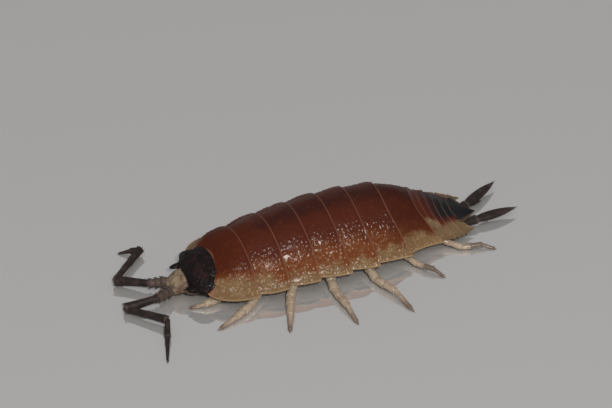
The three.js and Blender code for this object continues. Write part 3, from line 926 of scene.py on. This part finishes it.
def feeler_finish():
    finish = Finish("feeler_skin", Coat_Weight=0.08, Coat_Roughness=0.25, Specular_IOR_Level=0.1)
    base = finish.noise(2.6, 4.0).step(0.4, 0.7).tint(FEELER_BROWN, FEELER_PLUM)
    base = ((1.0 - finish.v.step(0.1, 0.3)) * 0.55).tint(base, FEELER_PALE)
    ends = finish.u.step(0.94, 1.0) + (1.0 - finish.u.step(0.0, 0.05))
    skin = (ends * 0.45).tint(base, FEELER_PALE)
    rough = 0.38 + finish.noise(8.0, 3.0) * 0.2
    return finish.paint(skin, rough, finish.noise(16.0, 4.0))


FEELER_SKIN = feeler_finish()
luck = random.Random(11)
for side, spots in FEELERS.items():
    socket, base, elbow, knee, tip = [Vector(s) * MM + SHIFT for s in spots]
    pieces = []
    for low, high, radii in BASE_LENGTHS:
        start, end = socket.lerp(base, low), socket.lerp(base, high)
        pieces.append(limb_length(feeler_rod, start, end, radii, BASE_SHADE, ridges=BASE_RIDGES))
        pieces += collar(start, end, radii[1], BASE_SPINES, BASE_SHADE)
    for start, end, radii in ((base, elbow, FOURTH_RADII), (elbow, knee, FIFTH_RADII)):
        pieces.append(limb_length(feeler_rod, start, end, radii, LENGTH_SHADE, ridges=LENGTH_RIDGES))
        pieces += collar(start, end, radii[1], LENGTH_SPINES, LENGTH_SHADE)
        pieces += hairs(start, end, radii, LENGTH_HAIRS, LENGTH_SHADE)
    middle = knee.lerp(tip, WHIP_JOINT)
    whip = ((knee, middle, WHIP_RADII[0], WHIP_SHADE), (middle, tip, WHIP_RADII[1], TIP_SHADE))
    for start, end, radii, shade in whip:
        pieces.append(limb_length(feeler_rod, start, end, radii, shade, ridges=BASE_RIDGES))
    pieces += collar(knee, middle, WHIP_HAIR_RADII[0], WHIP_SPINES, WHIP_SHADE)
    pieces += hairs(knee, tip, WHIP_HAIR_RADII, WHIP_HAIRS, WHIP_SHADE)
    way = (tip - middle).normalized()
    pieces.append(spine(tip.lerp(middle, TIP_INSET), way, shade=TIP_SHADE, **TIP_BRISTLE))
    whole = limb(f"feeler_{side}_skin", pieces)
    put_on(whole, FEELER_SKIN, "feeler", *[f"feeler_{side}_{part}" for part in FEELER_PARTS])

# Legs
# Seven pairs of walking legs grow out of the belly, each of six lengths, the last a small claw. The skin is
# cream with brown smudges and brown outer lengths; short spines and hairs stand between knee and claw.

# Each leg's knee, wrist and foot, from the first pair to the seventh
LEG_JOINTS = {
    "left": [
        ((-7.9, -2.2, 0.3), (-8.65, -2.3, 0.25), (-9.5, -2.05)),
        ((-6.34, -3.38, 0.24), (-7.42, -3.98, 0.24), (-8.65, -4.4)),
        ((-4.02, -3.6, 0.28), (-4.58, -4.98, 0.3), (-5.06, -6.07)),
        ((-1.5, -3.92, 0.28), (-1.38, -5.42, 0.28), (-1.32, -6.9)),
        ((1.02, -4.0, 0.28), (1.56, -5.35, 0.34), (1.96, -7.08)),
        ((3.72, -3.6, 0.26), (4.38, -4.36, 0.27), (4.81, -5.05)),
        ((6.75, -3.14, 0.2), (7.85, -3.36, 0.22), (8.57, -3.85)),
    ],
    "right": [
        ((-7.75, 1.7, 0.3), (-8.0, 1.4, 0.24), (-8.45, 1.15)),
        ((-5.9, 2.75, 0.26), (-6.4, 2.9, 0.24), (-7.0, 2.85)),
        ((-3.95, 3.35, 0.28), (-4.3, 3.65, 0.28), (-4.75, 3.9)),
        ((-1.95, 3.6, 0.28), (-1.8, 3.95, 0.28), (-1.6, 4.4)),
        ((0.95, 3.6, 0.28), (1.3, 3.95, 0.28), (1.7, 4.3)),
        ((3.6, 3.2, 0.26), (3.9, 3.5, 0.27), (4.4, 3.8)),
        ((6.1, 1.95, 0.2), (6.6, 2.1, 0.2), (7.2, 2.1)),
    ],
}
# The radius at each joint from the root to the claw's point, and how much thinner each length starts
LEG_RADII = [0.3, 0.28, 0.27, 0.26, 0.2, 0.12, 0.03]
LEG_STEPS = [1, 0.95, 0.95, 0.95, 0.8, 0.85]
LEG_FLATNESS = 0.85
# The roots' place across the body, as a share of its half width, their height, and how far the front four
# pairs and the rear three follow their plate's setback
LEG_ROOT = {"width_share": 0.52, "height": 0.92, "setback": 0.35, "rear_setback": 0.8}
FIRST_REAR_LEG = 4
HIP = {"along": 0.68, "down": 0.86}
# Where the fourth length starts between knee and wrist, and the claw between wrist and foot
FOURTH_AT = 0.45
CLAW_AT = 0.8
CLAW_HEIGHT = 0.02
# The last two pairs are slimmer and browner
FIRST_SLIM_LEG = 5
SLIM = 0.74
SLIM_SHADE = 0.3
SPINY_LENGTHS = (2, 3, 4)
LEG_SPINES = {"count": 6, "length": 0.13}
LEG_HAIRS = {"count": 12, "length": 0.11, "thickness": 0.012}
LEG_RINGS = [
    (-0.1, 0.6), (-0.04, 0.84), (0.03, 0.9), (0.15, 0.93), (0.35, 0.96), (0.6, 1.0), (0.8, 1.03),
    (0.92, 1.06), (0.98, 1.0), (1.02, 0.86), (1.06, 0.55),
]
leg_rod = rod_template("leg_rod", LEG_RINGS)

LEG_CREAM = colour(0.330, 0.262, 0.190)
LEG_BROWN = colour(0.080, 0.052, 0.042)
LEG_SMUDGE = colour(0.200, 0.140, 0.095)


def leg_finish():
    finish = Finish("leg_skin", Roughness=0.42, Coat_Weight=0.2, Coat_Roughness=0.2)
    smudge = finish.noise(2.4, 4.0, 0.65).step(0.44, 0.68)
    skin = (smudge * 0.7).tint(LEG_CREAM, LEG_SMUDGE)
    ends = finish.u.step(0.86, 0.98) * finish.noise(3.0, 2.0).step(0.35, 0.55)
    skin = (ends * 0.3).tint(skin, LEG_BROWN)
    outer = (finish.v + (finish.noise(3.0, 3.0) - 0.5) * 0.16).step(0.66, 0.86)
    skin = (outer * 0.8).tint(skin, LEG_BROWN)
    return finish.paint(skin, None, finish.noise(14.0, 4.0), 0.4)


LEG_SKIN = leg_finish()
for side, sign in (("left", -1), ("right", 1)):
    for i, (knee, wrist, foot) in enumerate(LEG_JOINTS[side]):
        row = trunk_rows[i]
        before = HEAD_HIND if i == 0 else trunk_rows[i - 1]["hind"]
        setback = LEG_ROOT["setback"] if i < FIRST_REAR_LEG else LEG_ROOT["rear_setback"]
        along = (row["hind"] + before) / 2 + setback * PLATE_SETBACKS[i]
        root = place(along, sign * LEG_ROOT["width_share"] * row["half_width"], LEG_ROOT["height"])
        knee, wrist, foot = [Vector(s) * MM + SHIFT for s in (knee, wrist, (*foot, CLAW_HEIGHT))]
        hip = root.lerp(knee, HIP["along"])
        hip.z = mix(root.z, knee.z, HIP["down"])
        fourth, claw = knee.lerp(wrist, FOURTH_AT), wrist.lerp(foot, CLAW_AT)
        joints = [root, hip, knee, fourth, wrist, claw, foot]
        slim = SLIM if i >= FIRST_SLIM_LEG else 1.0
        browner = SLIM_SHADE if i >= FIRST_SLIM_LEG else 0.0
        pieces = []
        for k, (start, end) in enumerate(zip(joints, joints[1:])):
            radii = (LEG_RADII[k] * slim * LEG_STEPS[k], LEG_RADII[k + 1] * slim)
            shade = (k / len(LEG_STEPS) + browner, (k + 1) / len(LEG_STEPS) + browner)
            pieces.append(limb_length(leg_rod, start, end, radii, shade, LEG_FLATNESS))
            if k in SPINY_LENGTHS:
                pieces += collar(start, end, radii[1], LEG_SPINES, shade)
                pieces += hairs(start, end, radii, LEG_HAIRS, shade)
        whole = limb(f"leg_{side}_{i + 1}_skin", pieces)
        put_on(whole, LEG_SKIN, "leg", f"leg_{side}_{i + 1}")

# Tail fans
# At each side of the telson a stout base carries a long, lance-shaped outer blade and a small inner one, all
# dark brown shell. The outer blade ends in a paler tip with a tuft of bristles.

FANS = {
    "left": {"root": (8.5, -1.36, 0.4), "tip": (11.03, -1.27, 0.45), "inner": (9.5, -0.95, 0.32)},
    "right": {"root": (8.5, 0.1, 0.42), "tip": (10.92, 1.42, 0.42), "inner": (9.55, 0.18, 0.34)},
}
# Where the base starts and ends behind the fan's root, and how much of it the blade's front end overlaps
FAN_BASE = {"start": -0.95, "end": 0.02, "radii": (0.3, 0.29), "flat": 0.8}
FAN_BLADE = {"overlap": 0.12, "radii": (0.32, 0.32), "flat": 0.7}
INNER_BLADE = {"radii": (0.14, 0.14), "flat": 0.7}
FAN_HAIRS = {"count": 40, "length": 0.13, "thickness": 0.012}
FAN_HAIR_RADII = (0.2, 0.06)
TUFT = {"count": 4, "inset": 0.05, "spread": 0.1}
TUFT_BRISTLE = {"length": 0.2, "thickness": 0.014}
BLADE_RINGS = [
    (-0.02, 0.3), (0.0, 0.6), (0.08, 0.75), (0.2, 0.93), (0.35, 1.0), (0.5, 0.96), (0.65, 0.82),
    (0.8, 0.58), (0.92, 0.3), (0.99, 0.1), (1.0, 0.03),
]
blade_rod = rod_template("blade_rod", BLADE_RINGS)


def fan_finish():
    finish = Finish("tail_fan_skin", Coat_Weight=0.1, Coat_Roughness=0.25, Specular_IOR_Level=0.12)
    base = finish.noise(2.6, 4.0).step(0.4, 0.7).tint(FEELER_BROWN, FEELER_PLUM)
    skin = (finish.u.step(0.75, 1.0) * 0.5).tint(base, FEELER_PALE)
    rough = 0.38 + finish.noise(8.0, 3.0) * 0.2
    return finish.paint(skin, rough, finish.noise(16.0, 4.0))


FAN_SKIN = fan_finish()
for side, spots in FANS.items():
    root, tip, inner = (Vector(spots[key]) * MM + SHIFT for key in ("root", "tip", "inner"))
    along = (tip - root).normalized()
    base_start, base_end = (root + along * FAN_BASE[key] * MM for key in ("start", "end"))
    blade_start = base_end - along * FAN_BLADE["overlap"] * MM
    inner_start = Vector((root.x, root.y, inner.z))
    pieces = [
        limb_length(leg_rod, base_start, base_end, FAN_BASE["radii"], BASE_SHADE, FAN_BASE["flat"]),
        limb_length(blade_rod, blade_start, tip, FAN_BLADE["radii"], LENGTH_SHADE, FAN_BLADE["flat"]),
        limb_length(blade_rod, inner_start, inner, INNER_BLADE["radii"], LENGTH_SHADE, INNER_BLADE["flat"]),
    ]
    pieces += hairs(base_end, tip, FAN_HAIR_RADII, FAN_HAIRS, LENGTH_SHADE)
    for k in range(TUFT["count"]):
        aside = TUFT["spread"] * (k - (TUFT["count"] - 1) / 2)
        way = (along + Vector((0, aside, 0))).normalized()
        pieces.append(spine(tip - along * TUFT["inset"] * MM, way, shade=TIP_SHADE, **TUFT_BRISTLE))
    whole = limb(f"tail_fan_{side}_skin", pieces)
    put_on(whole, FAN_SKIN, "tail_fan", f"tail_fan_{side}")

# Gill covers
# Five pairs of thin, stiff flaps lie under the tail like roof tiles, hinged at their front edges, and cover
# the gills.

GILL_PAIRS = 5
# The first pair's centre and radii, and what each pair behind it adds to them
FIRST_FLAP = {"centre": (5.75, 0.46, 0.42), "radii": (0.5, 0.56, 0.1)}
FLAP_STEP = {"centre": (0.4, 0.0, -0.02), "radii": (0.0, -0.05, 0.0)}
FLAP_TILT = -8

covers = []
for i in range(GILL_PAIRS):
    flap = {}
    for key, first in FIRST_FLAP.items():
        flap[key] = [size + i * step for size, step in zip(first, FLAP_STEP[key])]
    covers += [egg(**flap, tilt=FLAP_TILT, side=side, segments=24) for side in (-1, 1)]
gills = joined("gill_cover_flaps", covers)
smooth(gills)


def gill_finish():
    finish = Finish("gill_flap", Roughness=0.45)
    return finish.paint(finish.noise(2.0, 3.0).step(0.35, 0.7).tint(TAN, CREAM_GAP))


put_on(gills, gill_finish(), "gill_cover", "gill_covers")

for template in (feeler_rod, leg_rod, blade_rod, spine_template):
    bpy.data.objects.remove(template)

# Floor, lights and camera
# A plain pale floor with a soft gloss, a wide soft light overhead, and a smaller one in front that draws the
# sparkle on the near flank. The camera looks down at the near side as the photograph does.

FLOOR_SIZE = 3
FLOOR_GREY = colour(0.735, 0.735, 0.735)
ROOM_WHITE = colour(1.0, 1.0, 1.0)
ROOM_STRENGTH = 0.29
OVERHEAD = {"spot": (-0.05, -0.10, 0.35), "size": 0.3, "power": 0.42, "tone": (1, 1, 1)}
NEAR_SPARKLE = {"spot": (-0.035, -0.17, 0.175), "size": 0.035, "power": 0.46, "tone": (1.0, 0.94, 0.88)}
CAMERA = {"elevation": 38.0, "azimuth": -22.5, "distance": 0.150, "lens": 151.2, "aim": (0.14, 4.19, 0.0)}

bpy.ops.mesh.primitive_plane_add(size=FLOOR_SIZE)
floor = bpy.context.object
floor.name = "floor"
floor_paint = Finish("floor_paint", Roughness=0.02, Metallic=0.7, Base_Color=FLOOR_GREY)
floor.data.materials.append(floor_paint.material)

world = bpy.data.worlds.new("studio")
world.use_nodes = True
world.node_tree.nodes["Background"].inputs["Color"].default_value = ROOM_WHITE
world.node_tree.nodes["Background"].inputs["Strength"].default_value = ROOM_STRENGTH
bpy.context.scene.world = world


def area_light(name, spot, size, power, tone):
    """A square light that faces the frame's origin."""
    light = bpy.data.lights.new(name, "AREA")
    light.shape = "SQUARE"
    light.size = size
    light.energy = power
    light.color = tone
    lamp = bpy.data.objects.new(name, light)
    bpy.context.scene.collection.objects.link(lamp)
    lamp.location = Vector(spot)
    lamp.rotation_euler = (-Vector(spot)).to_track_quat("-Z", "Y").to_euler()
    return lamp


overhead = area_light("overhead", **OVERHEAD)
overhead.visible_glossy = False
area_light("near_sparkle", **NEAR_SPARKLE)

camera_data = bpy.data.cameras.new("camera")
camera_data.lens = CAMERA["lens"]
camera_data.sensor_width = 36.0
camera_data.clip_start = 0.01
camera_data.clip_end = 10.0
camera = bpy.data.objects.new("camera", camera_data)
bpy.context.scene.collection.objects.link(camera)
lift, turn = math.radians(CAMERA["elevation"]), math.radians(CAMERA["azimuth"])
back = Vector((math.sin(turn) * math.cos(lift), -math.cos(turn) * math.cos(lift), math.sin(lift)))
camera.location = Vector(CAMERA["aim"]) * MM + SHIFT + back * CAMERA["distance"]
camera.rotation_euler = (-back).to_track_quat("-Z", "Y").to_euler()
bpy.context.scene.camera = camera
bpy.context.scene.view_settings.view_transform = "Standard"
